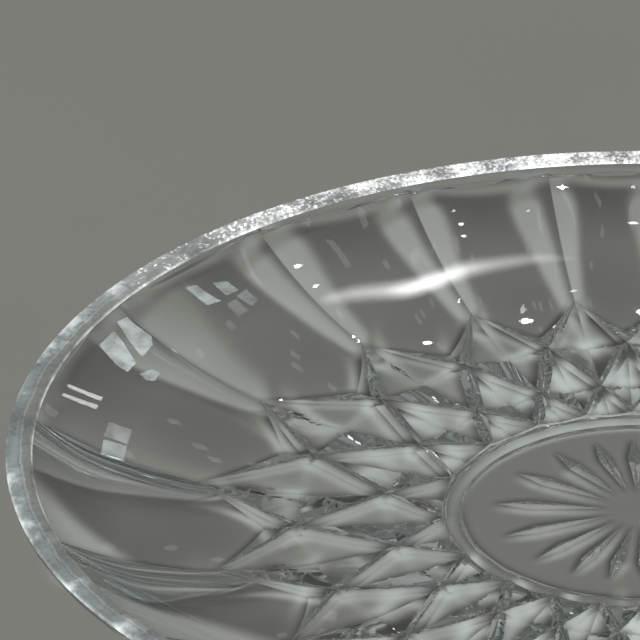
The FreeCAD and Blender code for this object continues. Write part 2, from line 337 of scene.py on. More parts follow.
def add_knee(mitre, side):
    """The line where one flank of a mitre turns, as far as it shows."""
    cut, keel, width = mitre
    knee = []
    for i in range(3):
        leg = keel[i + 1] - keel[i]
        length = float(np.hypot(*leg))
        along = leg / length
        normal = np.array([-along[1], along[0]]) * side
        for share in np.linspace(0, 1, max(3, int(length / 0.4))):
            wide = width[i] + (width[i + 1] - width[i]) * share
            knee.append(keel[i] + leg * share + normal * KNEE * wide)
    knee = np.array(knee)
    x, y = knee[:, 0], knee[:, 1]
    shows = (cut(x, y) > heights(fluted, x, y).max(0) - 0.03) & (np.hypot(x, y) > FOOT_CLEAR)
    changes = np.nonzero(np.diff(shows.astype(int)) != 0)[0] + 1
    for part in np.split(np.arange(len(knee)), changes):
        if len(part) > 3 and shows[part[0]]:
            add_clipped(knee[part], CUT_GAP)


def add_cut_edge(mitre, side):
    """The line where one flank of a mitre meets the surface it is cut into."""
    cut, keel, _ = mitre
    coarse = resample(keel, 0.35)
    edge = []
    for i in range(1, len(coarse) - 1):
        point = coarse[i]
        along = coarse[i + 1] - coarse[i - 1]
        along /= np.hypot(*along)
        normal = np.array([-along[1], along[0]]) * side
        reach = np.linspace(0.02, 6.5, 163)
        xs, ys = point[0] + normal[0] * reach, point[1] + normal[1] * reach
        if xs[0] < -3 or ys[0] < -3 or math.hypot(*point) < FOOT_OUT + 0.2:
            continue
        over = cut(xs, ys) - heights(fluted, xs, ys).max(0)
        below = np.nonzero(over < 0)[0]
        if len(below) == 0 or below[0] == 0:
            continue
        j = below[0]
        crossing = (reach[j - 1] + (reach[j] - reach[j - 1]) * over[j - 1]
                    / (over[j - 1] - over[j] + 1e-12))
        meeting = point + normal * crossing
        if math.hypot(*meeting) > FOOT_CLEAR:
            edge.append(meeting)
    if len(edge) > 4:
        edge = np.array(edge)
        jumps = np.hypot(*(np.diff(edge, axis=0).T)) > 1.4
        for part in np.split(edge, np.nonzero(jumps)[0] + 1):
            if len(part) > 3:
                add_clipped(part, CUT_GAP)


# circles: the rim, the foot's two eased edges, the band above the flutes
FOOT_EASE = (-0.05, -0.02, 0.03, 0.13, 0.3, 0.57)
add_arc(BLANK_R, N_ARC)
for offset in FOOT_EASE:
    add_arc(FOOT_IN + offset, 84)
for offset in reversed(FOOT_EASE):
    add_arc(FOOT_OUT - offset, 90)
add_arc(BAND_R, N_ARC)

# ridges between flutes, and the flutes' straight outer ends
for k in range(0, 6):
    add_line(resample([polar(FOOT_OUT + 0.10, ridge(k)), polar(BAND_R, ridge(k))], 0.45))
for k in range(0, 5):
    start, end = flute_span(k)
    middle, half = (start + end) / 2, (end - start) / 2
    radial = np.array([math.cos(middle), math.sin(middle)])
    sideways = np.array([-math.sin(middle), math.cos(middle)])
    for offset in (-0.45, -0.25, -0.05, 0.15):
        out = FLUTE_TOP + offset
        wide = out * math.tan(half)
        add_line(resample([radial * out - sideways * wide, radial * out + sideways * wide], 0.5))

for mitre in mitres:
    keel_line = resample(mitre[1], 0.02)
    add_clipped(keel_line[np.hypot(keel_line[:, 0], keel_line[:, 1]) > FOOT_CLEAR], CUT_GAP)
    for side in (-1, 1):
        add_knee(mitre, side)
    for side in (-1, 1):
        add_cut_edge(mitre, side)

# each leaf's keel, outline and widest line
for _, outline, middle in leaves:
    for path in ([outline[0], middle, outline[2]], outline + [outline[0]],
                 [outline[1], middle, outline[3]]):
        add_clipped(path, 0.4)

# diagonals of the diamonds between the mitres, around and outwards
for radius, shift in ((CROSS1, 0.5), (CROSS2, 0.0), (CROSS3, 0.5)):
    row = [polar(radius, ridge(j + shift)) for j in range(-1, 7)]
    for start, end in zip(row[:-1], row[1:]):
        add_clipped([start, end], 0.45)
for k in range(0, 5):
    angle = ridge(k + 0.5)
    add_line(resample([polar(FOOT_OUT + 0.3, angle), polar(CROSS1, angle)], 0.45))

# straight sides of the quarter
add_line(resample([(0, 0), (BLANK_R, 0)], 0.5))
add_line(resample([(0, 0), (0, BLANK_R)], 0.5))


# ================================================= triangles of the first quarter
def background_points(line_points):
    """Points on a triangular grid, finer where the pattern is, clear of the lines."""
    rng = np.random.default_rng(7)
    points = []
    # spacing, from radius, to radius
    for gap, r_from, r_to in ((0.62, 0.0, 20.0), (0.52, 20.0, 47.0), (0.85, 47.0, 64.4)):
        for j in range(int(BLANK_R / (gap * 0.866)) + 1):
            y = (j + 0.5) * gap * 0.866
            x = (np.arange(int(BLANK_R / gap)) + (0.5 if j % 2 else 0.0) + 0.25) * gap
            row = np.stack([x, np.full(x.shape, y)], -1)
            r = np.hypot(row[:, 0], row[:, 1])
            points.append(row[(r >= r_from) & (r < r_to)])
    points = np.concatenate(points)
    points += rng.uniform(-0.05, 0.05, points.shape)

    cell = 0.3
    grid = {}
    for i, point in enumerate(line_points):
        grid.setdefault((int(point[0] // cell), int(point[1] // cell)), []).append(i)

    def crowded(point):
        column, row = int(point[0] // cell), int(point[1] // cell)
        return any((line_points[i, 0] - point[0]) ** 2 + (line_points[i, 1] - point[1]) ** 2 < 0.055
                   for dx in (-1, 0, 1) for dy in (-1, 0, 1)
                   for i in grid.get((column + dx, row + dy), ()))
    return np.array([p for p in points if p[0] >= 0.2 and p[1] >= 0.2 and not crowded(p)])


def triangulate():
    """Points and counter-clockwise triangles of the quarter, on the round blank."""
    line_points = np.concatenate(lines)
    edges, base = [], 0
    for line in lines:
        edges.extend([(base + i, base + i + 1) for i in range(len(line) - 1)])
        base += len(line)
    points = np.concatenate([line_points, background_points(line_points)])
    result = delaunay_2d_cdt([Vector((float(x), float(y))) for x, y in points], edges, [], 0, 1e-3)
    points = np.array([(v.x, v.y) for v in result[0]])
    tris = np.array([face for face in result[2] if len(face) == 3], int)
    middle = points[tris].mean(1)
    r = np.hypot(middle[:, 0], middle[:, 1])
    tris = tris[(r < BLANK_R) & (middle[:, 0] > 0) & (middle[:, 1] > 0)]
    a, b, c = points[tris[:, 0]], points[tris[:, 1]], points[tris[:, 2]]
    area = 0.5 * ((b[:, 0] - a[:, 0]) * (c[:, 1] - a[:, 1])
                  - (b[:, 1] - a[:, 1]) * (c[:, 0] - a[:, 0]))
    flip = area < 0
    tris[flip] = tris[flip][:, [0, 2, 1]]
    tris = tris[np.abs(area) > 1e-7]
    points = np.clip(points, 0, None)
    used = np.unique(tris)
    renumber = -np.ones(len(points), int)
    renumber[used] = np.arange(len(used))
    return points[used], renumber[tris]


def find_corner_normals(points, tris, point_z):
    """Normals from each triangle's own patch, so creases stay crisp and curves smooth."""
    middle = points[tris].mean(1)
    owner = heights(patches, middle[:, 0], middle[:, 1]).argmax(0)
    result = np.zeros((len(tris), 3, 3))
    step = 0.01
    for patch_id in np.unique(owner):
        rows = np.nonzero(owner == patch_id)[0]
        patch = patches[patch_id]
        corners = points[tris[rows]]
        # slightly inside the triangle, so that a crease is never straddled
        inner = corners * 0.94 + middle[rows][:, None, :] * 0.06
        x, y = inner[..., 0], inner[..., 1]

        def footed(x, y):
            return patch(x, y) * (1 - foot_share(np.hypot(x, y)))
        slope_x = (footed(x + step, y) - footed(x - step, y)) / (2 * step)
        slope_y = (footed(x, y + step) - footed(x, y - step)) / (2 * step)
        normal = np.stack([slope_x, slope_y / ASPECT, -np.ones_like(slope_x)], -1)
        too_steep = (np.abs(slope_x) > 6) | (np.abs(slope_y) > 6)
        a, b, c = (np.concatenate([corners[:, i] * [1, ASPECT],
                                   point_z[tris[rows, i]][:, None]], -1) for i in range(3))
        flat = -np.cross(b - a, c - a)
        normal = np.where(too_steep[..., None], flat[:, None, :], normal)
        normal /= np.linalg.norm(normal, axis=-1, keepdims=True)
        flat /= np.linalg.norm(flat, axis=-1, keepdims=True) + 1e-12
        astray = (normal * flat[:, None, :]).sum(-1) < 0.75
        result[rows] = np.where(astray[..., None], flat[:, None, :], normal)
    return result


# =============================================================== mesh of the dish
CLEAR, GROUND = 0, 1        # material slots
verts, faces, normals, kinds = [], [], [], []
vertex_at = {}
# a point's own cell first, then its neighbours, so that rounding never splits a point
NEAR_CELLS = sorted(((a, b, c) for a in (-1, 0, 1) for b in (-1, 0, 1) for c in (-1, 0, 1)),
                    key=lambda cell: sum(map(abs, cell)))


def vertex(x, y, z):
    """Index of the vertex at a place, made if there is none within a cell of 0.001 mm."""
    cell_x, cell_y, cell_z = round(x * 1000), round(y * 1000), round(z * 1000)
    for dx, dy, dz in NEAR_CELLS:
        i = vertex_at.get((cell_x + dx, cell_y + dy, cell_z + dz))
        if i is not None:
            return i
    i = vertex_at[(cell_x, cell_y, cell_z)] = len(verts)
    verts.append((x, y, z))
    return i


def add_face(corners, corner_normals, kind=CLEAR):
    faces.append(corners)
    normals.append(corner_normals)
    kinds.append(kind)


def add_underside():
    """The quarter, mirrored into all four."""
    points, tris = triangulate()
    point_z = under(points[:, 0], points[:, 1])
    corner_normals = find_corner_normals(points, tris, point_z)
    for sx in (1, -1):
        for sy in (1, -1):
            ids = [vertex(sx * x + 0.0, sy * y * ASPECT + 0.0, z)
                   for (x, y), z in zip(points, point_z)]
            for tri, tri_normals in zip(tris, corner_normals):
                face = [ids[i] for i in tri]
                mirrored = [(sx * n[0], sy * n[1], n[2]) for n in tri_normals]
                if sx * sy > 0:                       # faces look down
                    face = [face[0], face[2], face[1]]
                    mirrored = [mirrored[0], mirrored[2], mirrored[1]]
                if len(set(face)) == 3:
                    add_face(face, mirrored)


def upper_profile():
    """Side, rim and bowl as (radius, z, normal's radial part, normal's z part)."""
    profile = [(BLANK_R, RIM_SIDE, 1.0, 0.0)]
    shoulder = BLANK_R - EASE
    for i in range(6):                      # rounded outer edge
        turn = math.pi / 2 * i / 5
        cos_t, sin_t = math.cos(turn), math.sin(turn)
        profile.append((shoulder + EASE * cos_t, HEIGHT - EASE + EASE * sin_t, cos_t, sin_t))
    for i in range(1, 8):                   # flat top of the rim
        profile.append((shoulder + (RIM_IN + EASE - shoulder) * i / 8, HEIGHT, 0.0, 1.0))
    wall_top = math.atan2(HEIGHT - EASE - (FLOOR_Z + BOWL_ARC), RIM_IN - FLOOR_R)
    wall_normal = math.atan2(-math.sin(wall_top), -math.cos(wall_top))
    # rounded inner edge: a quadratic blend from the flat top into the wall
    (r0, z0), (r1, z1), (r2, z2) = ((RIM_IN + EASE, HEIGHT), (RIM_IN + 0.08, HEIGHT - 0.06),
                                    (RIM_IN, HEIGHT - EASE))
    for i in range(6):
        u = i / 5
        turn = math.pi / 2 + (wall_normal - math.pi / 2) * u
        profile.append(((1 - u) ** 2 * r0 + 2 * u * (1 - u) * r1 + u * u * r2,
                        (1 - u) ** 2 * z0 + 2 * u * (1 - u) * z1 + u * u * z2,
                        math.cos(turn), math.sin(turn)))
    wall_steps = 44
    for i in range(1, wall_steps + 1):
        turn = wall_top + (-math.pi / 2 - wall_top) * i / wall_steps
        cos_t, sin_t = math.cos(turn), math.sin(turn)
        profile.append((FLOOR_R + BOWL_ARC * cos_t, FLOOR_Z + BOWL_ARC + BOWL_ARC * sin_t,
                        -cos_t, -sin_t))
    for r in (30, 25, 20, 15, 10, 5, 2):
        profile.append((float(r), FLOOR_Z, 0.0, 1.0))
    return profile


def add_upper():
    """Side, rim and bowl, as rings that match the points round the underside."""
    profile = upper_profile()
    quarter = [(math.cos(math.pi / 2 * i / N_ARC), math.sin(math.pi / 2 * i / N_ARC))
               for i in range(N_ARC + 1)]
    directions = []
    for sx, sy, order in ((1, 1, 1), (-1, 1, -1), (-1, -1, 1), (1, -1, -1)):
        directions += [(sx * x, sy * y) for x, y in quarter[::order][:-1]]
    count = len(directions)
    rings = []
    for r, z, _, _ in profile:
        ring = []
        for dir_x, dir_y in directions:
            x, y = (0.0 if abs(v) < 1e-9 else v for v in (r * dir_x, r * dir_y))
            ring.append(vertex(x, y * ASPECT, z))
        rings.append(ring)

    def ring_normal(j, i):
        _, _, out, rise = profile[j]
        dir_x, dir_y = directions[i]
        normal = np.array([out * dir_x, out * dir_y / ASPECT, rise])
        return tuple(normal / np.linalg.norm(normal))

    for j in range(len(profile) - 1):
        on_rim = (j > 0 and profile[j][0] > RIM_IN - 0.05
                  and profile[j + 1][1] > HEIGHT - EASE - 0.02)
        for i in range(count):
            k = (i + 1) % count
            corners = ((j, i), (j, k), (j + 1, k), (j + 1, i))
            add_face([rings[a][b] for a, b in corners], [ring_normal(a, b) for a, b in corners],
                     GROUND if on_rim else CLEAR)
    hub = vertex(0.0, 0.0, FLOOR_Z)
    for i in range(count):
        add_face([rings[-1][i], rings[-1][(i + 1) % count], hub], [(0, 0, 1)] * 3)


def new_object(name, data):
    made = bpy.data.objects.new(name, data)
    bpy.context.scene.collection.objects.link(made)
    return made


add_underside()
add_upper()
dish_mesh = bpy.data.meshes.new("glass_visual")
dish_mesh.from_pydata([(x / 1000, y / 1000, z / 1000) for x, y, z in verts], [], faces)
dish_mesh.update()
dish_mesh.polygons.foreach_set("use_smooth", [True] * len(faces))
dish_mesh.polygons.foreach_set("material_index", kinds)
dish_mesh.normals_split_custom_set([Vector(n) for face in normals for n in face])
dish_mesh.validate(clean_customdata=False)
dish = new_object("pressed_glass_dish", dish_mesh)

# ======================================================= light through the glass
# Where light from the key lamp lands on the table after the dish has bent it, worked out
# from the dish's own surfaces. The table carries it as an attribute. Millimetres.
MAP_X, MAP_Y = (-80.0, 80.0), (-62.0, 82.0)
CELL, RAY_GAP = 0.25, 0.125             # size of a map cell, spacing of rays
LAMP_HALF_ANGLE = 2.1                   # degrees
GLASS_IOR = 1.52
cells_x, cells_y = int((MAP_X[1] - MAP_X[0]) / CELL), int((MAP_Y[1] - MAP_Y[0]) / CELL)

# heights and slopes of one quarter of the underside, on a square grid
GRID_STEP = 0.08
grid_count = int(66.4 / GRID_STEP) + 1
grid_line = np.arange(grid_count) * GRID_STEP
under_grid = under(*np.meshgrid(grid_line, grid_line, indexing="ij"))
under_slope_x, under_slope_y = np.gradient(under_grid, GRID_STEP)


def interpolate(field, i, j):
    """Value of the field between its cells."""
    i0, j0 = i.astype(int), j.astype(int)
    a, b = i - i0, j - j0
    return (field[i0, j0] * (1 - a) * (1 - b) + field[i0 + 1, j0] * a * (1 - b)
            + field[i0, j0 + 1] * (1 - a) * b + field[i0 + 1, j0 + 1] * a * b)


def on_grid(field, x, y):
    return interpolate(field, np.clip(x / GRID_STEP, 0, grid_count - 1.001),
                       np.clip(y / GRID_STEP, 0, grid_count - 1.001))


def low_z(x, y):
    return on_grid(under_grid, np.abs(x), np.abs(y) / ASPECT)


def low_slope(x, y):
    blank_x, blank_y = np.abs(x), np.abs(y) / ASPECT
    return (on_grid(under_slope_x, blank_x, blank_y) * np.sign(x),
            on_grid(under_slope_y, blank_x, blank_y) * np.sign(y) / ASPECT)


def bowl_z(x, y):
    run = np.clip(np.hypot(x, y / ASPECT) - FLOOR_R, 0, BOWL_ARC * 0.999)
    return FLOOR_Z + BOWL_ARC - np.sqrt(BOWL_ARC ** 2 - run * run)


def bowl_slope(x, y):
    r = np.hypot(x, y / ASPECT) + 1e-9
    run = np.clip(r - FLOOR_R, 0, BOWL_ARC * 0.99)
    slope = run / np.sqrt(BOWL_ARC ** 2 - run * run)
    return slope * x / r, slope * y / (r * ASPECT ** 2)


def upward_normal(slope_x, slope_y):
    normal = np.stack([-slope_x, -slope_y, np.ones(slope_x.shape)], -1)
    return normal / np.linalg.norm(normal, axis=1)[:, None]


def bend(ray, normal, ior_from, ior_to):
    """Direction after the surface and the share of light that gets through."""
    cos_in = -(ray * normal).sum(-1)
    square = 1 - (ior_from / ior_to) ** 2 * (1 - cos_in ** 2)
    passes = (square > 1e-6) & (cos_in > 1e-3)
    cos_out = np.sqrt(np.clip(square, 1e-9, None))
    bent = ((ior_from / ior_to) * ray
            + ((ior_from / ior_to) * cos_in - cos_out)[:, None] * normal)
    loss_s = ((ior_from * cos_in - ior_to * cos_out) / (ior_from * cos_in + ior_to * cos_out)) ** 2
    loss_p = ((ior_from * cos_out - ior_to * cos_in) / (ior_from * cos_out + ior_to * cos_in)) ** 2
    return bent, np.where(passes, 1 - (loss_s + loss_p) / 2, 0.0)


def map_cell(x, y):
    return (x - MAP_X[0]) / CELL - 0.5, (y - MAP_Y[0]) / CELL - 0.5


def splat(light, x, y, weight):
    """Shares each ray's weight among the four map cells round its landing place."""
    i, j = map_cell(x, y)
    inside = (i > 0) & (j > 0) & (i < cells_x - 1.01) & (j < cells_y - 1.01)
    i, j, weight = i[inside], j[inside], weight[inside]
    i0, j0 = i.astype(int), j.astype(int)
    a, b = i - i0, j - j0
    for di, dj, share in ((0, 0, (1 - a) * (1 - b)), (1, 0, a * (1 - b)),
                          (0, 1, (1 - a) * b), (1, 1, a * b)):
        light += np.bincount((i0 + di) * cells_y + j0 + dj, share * weight,
                             cells_x * cells_y).reshape(cells_x, cells_y)


def through_glass(azimuth, elevation):
    """Light on the table per cell, from one direction; 1.0 away from the dish."""
    azimuth, elevation = math.radians(azimuth), math.radians(elevation)
    beam = np.array([-math.sin(azimuth) * math.cos(elevation),
                     -math.cos(azimuth) * math.cos(elevation), -math.sin(elevation)])
    xs = np.arange(-BLANK_R - 0.5, BLANK_R + 0.5, RAY_GAP)
    ys = np.arange(-BLANK_R * ASPECT - 0.5, BLANK_R * ASPECT + 0.5, RAY_GAP)
    x0, y0 = (v.ravel() for v in np.meshgrid(xs, ys, indexing="ij"))
    r0 = np.hypot(x0, y0 / ASPECT)
    inside = r0 <= BLANK_R
    x0, y0, r0 = x0[inside], y0[inside], r0[inside]
    ray_weight = (RAY_GAP / CELL) ** 2

    # take away the light that would have reached the table without the dish
    light = np.ones((cells_x, cells_y))
    straight = HEIGHT / -beam[2]
    straight_x, straight_y = x0 + beam[0] * straight, y0 + beam[1] * straight
    splat(light, straight_x, straight_y, np.full(x0.shape, -ray_weight))

    # from the rim's level to the bowl's surface, by halving
    bowl = r0 < RIM_IN
    low, high = np.zeros(x0.shape), np.full(x0.shape, (HEIGHT - FLOOR_Z) / -beam[2])
    for _ in range(14):
        half = (low + high) / 2
        above = HEIGHT + beam[2] * half > bowl_z(x0 + beam[0] * half, y0 + beam[1] * half)
        low, high = np.where(above, half, low), np.where(above, high, half)
    run = np.where(bowl, (low + high) / 2, 0.0)
    x1, y1, z1 = x0 + beam[0] * run, y0 + beam[1] * run, HEIGHT + beam[2] * run
    slope_x, slope_y = bowl_slope(x1, y1)
    normal = upward_normal(np.where(bowl, slope_x, 0), np.where(bowl, slope_y, 0))
    in_glass, power = bend(np.broadcast_to(beam, normal.shape), normal, 1.0, GLASS_IOR)
    power = power * np.where(bowl, 1.0, 0.98)

    # through the glass to the underside; drop is the height lost on the way
    per_drop_x, per_drop_y = in_glass[:, 0] / -in_glass[:, 2], in_glass[:, 1] / -in_glass[:, 2]
    drop = z1 - low_z(x1, y1)
    for _ in range(14):
        drop += 0.7 * (z1 - low_z(x1 + per_drop_x * drop, y1 + per_drop_y * drop) - drop)
    x2, y2 = x1 + per_drop_x * drop, y1 + per_drop_y * drop
    leaving, passed = bend(in_glass, upward_normal(*low_slope(x2, y2)), GLASS_IOR, 1.0)
    r2 = np.hypot(x2, y2 / ASPECT)
    by_side = r2 > BLANK_R
    power = power * np.where(by_side, 0.95, passed)
    leaving = np.where(by_side[:, None], beam, leaving)

    # down to the table
    down = leaving[:, 2] < -0.05
    run = np.where(down, np.clip(z1 - drop, 0, None) / np.where(down, -leaving[:, 2], 1.0), 0)
    x3, y3 = x2 + leaving[:, 0] * run, y2 + leaving[:, 1] * run
    power = np.where(down, power, 0.0)
    rim = ~bowl
    brow = bowl & (r2 > 61.0)           # the plain band above the flutes
    splat(light, x3[brow], y3[brow], (power * 0.5 * ray_weight)[brow])
    level = rim | brow
    splat(light, np.where(level, straight_x, x3), np.where(level, straight_y, y3),
          np.where(rim, 1.0, np.where(brow, 0.42, power)) * ray_weight)
    return light


def blur(field, passes):
    """Smooths the field by about a cell per pass, both ways."""
    field = field.copy()
    for _ in range(passes):
        field[1:-1] = field[:-2] * 0.25 + field[1:-1] * 0.5 + field[2:] * 0.25
        field[:, 1:-1] = field[:, :-2] * 0.25 + field[:, 1:-1] * 0.5 + field[:, 2:] * 0.25
    return field


def thrown_light():
    """The whole map of light on the table, its contrast shaped."""
    beams = [(0, 0)] + [(LAMP_HALF_ANGLE * math.cos(turn), LAMP_HALF_ANGLE * math.sin(turn))
                        for turn in np.arange(6) * math.pi / 3]
    widen = math.cos(math.radians(KEY_ELEVATION))
    light = sum(through_glass(KEY_AZIMUTH + da / widen, KEY_ELEVATION + de)
                for da, de in beams) / len(beams)
    light = np.clip(blur(light, 3), 0.0, 3.0)
    light = np.where(light > 1.6, 1.6 + (light - 1.6) * 0.6, light)
    light = np.where(light < 1, np.clip(light, 0.15, None) ** 1.5, 1 + (light - 1) * 1.5)

    x = MAP_X[0] + (np.arange(cells_x) + 0.5) * CELL
    y = MAP_Y[0] + (np.arange(cells_y) + 0.5) * CELL
    r = np.hypot(*np.meshgrid(x, y / ASPECT, indexing="ij"))
    # under the crossing cuts the light arrives from many sides, so it is softer
    zone = smoothstep((r - 18.3) / 1.0) * (1 - smoothstep((r - 34.0) / 11.0))
    light = (light + (blur(light, 5) - light) * zone * 0.85) * (1 + 0.36 * zone)
    # brighter under the foot
    light *= 1 + 0.22 * smoothstep((r - 18.0) / 0.6) * (1 - smoothstep((r - 20.5) / 0.8))
    return light


def light_at(light, x, y):
    i, j = map_cell(x, y)
    inside = (i > 1) & (j > 1) & (i < cells_x - 2) & (j < cells_y - 2)
    value = interpolate(light, np.clip(i, 0, cells_x - 1.01), np.clip(j, 0, cells_y - 1.01))
    return np.where(inside, value, 1.0)


# ================================================================= materials
class Nodes:
    """Fills a material's or world's emptied node tree; sockets given as inputs are linked."""

    def __init__(self, owner):
        owner.use_nodes = True
        self.tree = owner.node_tree
        self.tree.nodes.clear()

    def new(self, kind, inputs, settings):
        node = self.tree.nodes.new("ShaderNode" + kind)
        for name, value in settings.items():
            setattr(node, name, value)
        for name, value in inputs.items():
            if isinstance(value, bpy.types.NodeSocket):
                self.tree.links.new(value, node.inputs[name])
            else:
                node.inputs[name].default_value = value
        return node

    def add(self, kind, inputs=None, **settings):
        return self.new(kind, inputs or {}, settings).outputs

    def noise(self, place, scale, detail, roughness):
        return self.add("TexNoise", {"Vector": place, "Scale": scale, "Detail": detail,
                                     "Roughness": roughness})["Fac"]

    def math(self, operation, *values):
        return self.add("Math", dict(enumerate(values)), operation=operation)[0]

    def rescale(self, value, start, stop, low=0.0, high=1.0):
        """Turns start..stop into low..high."""
        return self.add("MapRange", {"Value": value, "From Min": start, "From Max": stop,
                                     "To Min": low, "To Max": high})["Result"]

    def bump(self, height, strength, distance, normal=None):
        inputs = {"Height": height, "Strength": strength, "Distance": distance}
        if normal is not None:
            inputs["Normal"] = normal
        return self.add("Bump", inputs)["Normal"]

    def ramp(self, value, stops):
        """Colour ramp through (position, colour) stops."""
        node = self.new("ValToRGB", {"Fac": value}, {})
        elements = node.color_ramp.elements
        for element, (position, color) in zip(elements, (stops[0], stops[-1])):
            element.position, element.color = position, (*color, 1)
        for position, color in stops[1:-1]:
            elements.new(position).color = (*color, 1)
        return node.outputs["Color"]

    def mix_color(self, share, first, second):
        inputs = {"Factor": share, 6: first, 7: second}
        return self.add("Mix", inputs, data_type="RGBA")[2]

    def blank_radius(self, place):
        """Distance from the middle on the round blank, in metres."""
        blank = self.add("VectorMath", {0: place, 1: (1.0, 1.0 / ASPECT, 0.0)},
                         operation="MULTIPLY")[0]
        return self.add("VectorMath", {0: blank}, operation="LENGTH")["Value"]

    def pressed_normal(self, place):
        """Slow waviness that pressing leaves in the surface, with a faint fine grain."""
        wave = self.noise(place, scale=55.0, detail=2.0, roughness=0.5)
        grain = self.noise(place, scale=900.0, detail=3.0, roughness=0.6)
        waved = self.bump(wave, strength=0.12, distance=0.00007)
        return self.bump(grain, strength=0.010, distance=0.00005, normal=waved)

    def glass(self, normal, roughness):
        return self.add("BsdfPrincipled", {
            "Base Color": (0.985, 0.995, 0.99, 1), "IOR": GLASS_IOR,
            "Transmission Weight": 1.0, "Normal": normal, "Roughness": roughness})[0]

    def finish_glass(self, surface):
        tint = self.add("VolumeAbsorption", {"Color": (0.79, 0.825, 0.82, 1), "Density": 42.0})[0]
        self.add("OutputMaterial", {"Surface": surface, "Volume": tint})


def new_material(name):
    material = bpy.data.materials.new(name)
    return material, Nodes(material)


def clear_glass():
    material, nodes = new_material("clear_pressed_glass")
    place = nodes.add("TexCoord")["Object"]
    # the star's small cuts come out of the mould a little uneven
    upright = nodes.add("SeparateXYZ", {0: nodes.add("NewGeometry")["Normal"]})["Z"]
    sloped = nodes.math("LESS_THAN", nodes.math("ABSOLUTE", upright), 0.96)
    in_star = nodes.math("LESS_THAN", nodes.blank_radius(place), (STAR_OUT + 0.6) / 1000)
    uneven = nodes.math("MULTIPLY", nodes.math("MULTIPLY", sloped, in_star), 0.6)
    beads = nodes.noise(place, scale=1300.0, detail=2.0, roughness=0.5)
    normal = nodes.bump(beads, strength=uneven, distance=0.00010,
                        normal=nodes.pressed_normal(place))
    # faint handling marks: patches a little less glossy
    marks = nodes.noise(place, scale=38.0, detail=5.0, roughness=0.65)
    roughness = nodes.rescale(marks, start=0.52, stop=0.75, high=0.05)
    nodes.finish_glass(nodes.glass(normal, roughness))
    return material


def rim_glass():
    """Ground flat, then polished: a granular glitter over clear glass; the glitter is painted
    highlight that glows.
    """
    material, nodes = new_material("ground_glass_rim")
    place = nodes.add("TexCoord")["Object"]
    grain = nodes.add("TexVoronoi", {"Vector": place, "Scale": 1500.0}, feature="F1")["Distance"]
    lump = nodes.noise(place, scale=420.0, detail=4.0, roughness=0.7)
    cloud = nodes.noise(place, scale=120.0, detail=6.0, roughness=0.72)
    soft = nodes.noise(place, scale=250.0, detail=4.0, roughness=0.6)
    lumpy = nodes.bump(lump, strength=0.22, distance=0.0003, normal=nodes.pressed_normal(place))
    normal = nodes.bump(grain, strength=0.35, distance=0.0002, normal=lumpy)
    roughness = nodes.rescale(lump, start=0.4, stop=0.7, low=0.03, high=0.22)
    glass = nodes.glass(normal, roughness)

    # 0 at the rim's inner edge and 1 at its outer edge
    over = nodes.rescale(nodes.blank_radius(place), start=RIM_IN / 1000, stop=BLANK_R / 1000)
    place_y = nodes.add("SeparateXYZ", {0: place})["Y"]

    # colour: bands along the rim, giving way to pale clouds towards +Y
    wobble = nodes.math("MULTIPLY_ADD", soft, 0.5, -0.25)
    bands = nodes.ramp(nodes.math("ADD", wobble, over), (
        (0.10, (0.42, 0.45, 0.43)), (0.36, (0.46, 0.50, 0.49)), (0.42, (0.78, 0.83, 0.83)),
        (0.47, (0.42, 0.47, 0.49)), (0.56, (0.56, 0.63, 0.67)), (0.86, (0.62, 0.70, 0.74)),
        (0.97, (0.86, 0.93, 0.95))))
    clouds = nodes.ramp(cloud, ((0.36, (0.58, 0.62, 0.63)), (0.54, (0.98, 0.99, 0.98))))
    color = nodes.mix_color(nodes.rescale(place_y, start=0.014, stop=0.036), bands, clouds)

    # painted glints: single ground grains glow as if they caught the light, thicker towards +Y
    cells = nodes.add("TexVoronoi", {"Vector": place, "Scale": 3400.0}, feature="F1")["Color"]
    random = nodes.add("SeparateColor", {0: cells})
    limit = nodes.math("ADD",
                       nodes.rescale(place_y, start=0.016, stop=0.042, low=-0.35, high=0.85),
                       nodes.rescale(cloud, start=0.40, stop=0.62, low=-0.30, high=0.30))
    lit = nodes.math("LESS_THAN", random[0], limit)
    painted_glints = nodes.math("MULTIPLY", nodes.math("MULTIPLY", lit, random[1]), 1.1)
    # painted highlights: a soft glowing gleam towards the outer edge, and broken bright lines
    # painted along both edges
    painted_gleam = nodes.rescale(soft, start=0.53, stop=0.63, high=0.55)
    painted_outer_gleam = nodes.math("MULTIPLY", painted_gleam, over)
    edges = nodes.ramp(over, ((0.0, (0.55,) * 3), (0.07, (0.0,) * 3),
                              (0.91, (0.0,) * 3), (1.0, (0.60,) * 3)))
    broken = nodes.rescale(cloud, start=0.42, stop=0.60)
    painted_glow = nodes.math("ADD", nodes.math("MULTIPLY_ADD", edges, broken, painted_outer_gleam), painted_glints)

    # the frost's emission is painted light: glints, gleam and edge lines glow though no lamp is
    # there
    frost = nodes.add("BsdfPrincipled", {
        "Base Color": color, "Roughness": 0.22, "Normal": normal,
        "Emission Color": (0.95, 1.0, 1.0, 1), "Emission Strength": painted_glow})[0]
    # frosted only as seen from outside the glass
    outside = nodes.math("SUBTRACT", 1.0, nodes.add("NewGeometry")["Backfacing"])
    share = nodes.rescale(cloud, start=0.36, stop=0.60, low=0.30, high=0.92)
    frosted = nodes.math("MULTIPLY", share, outside)
    nodes.finish_glass(nodes.add("MixShader", {0: frosted, 1: glass, 2: frost})[0])
    return material


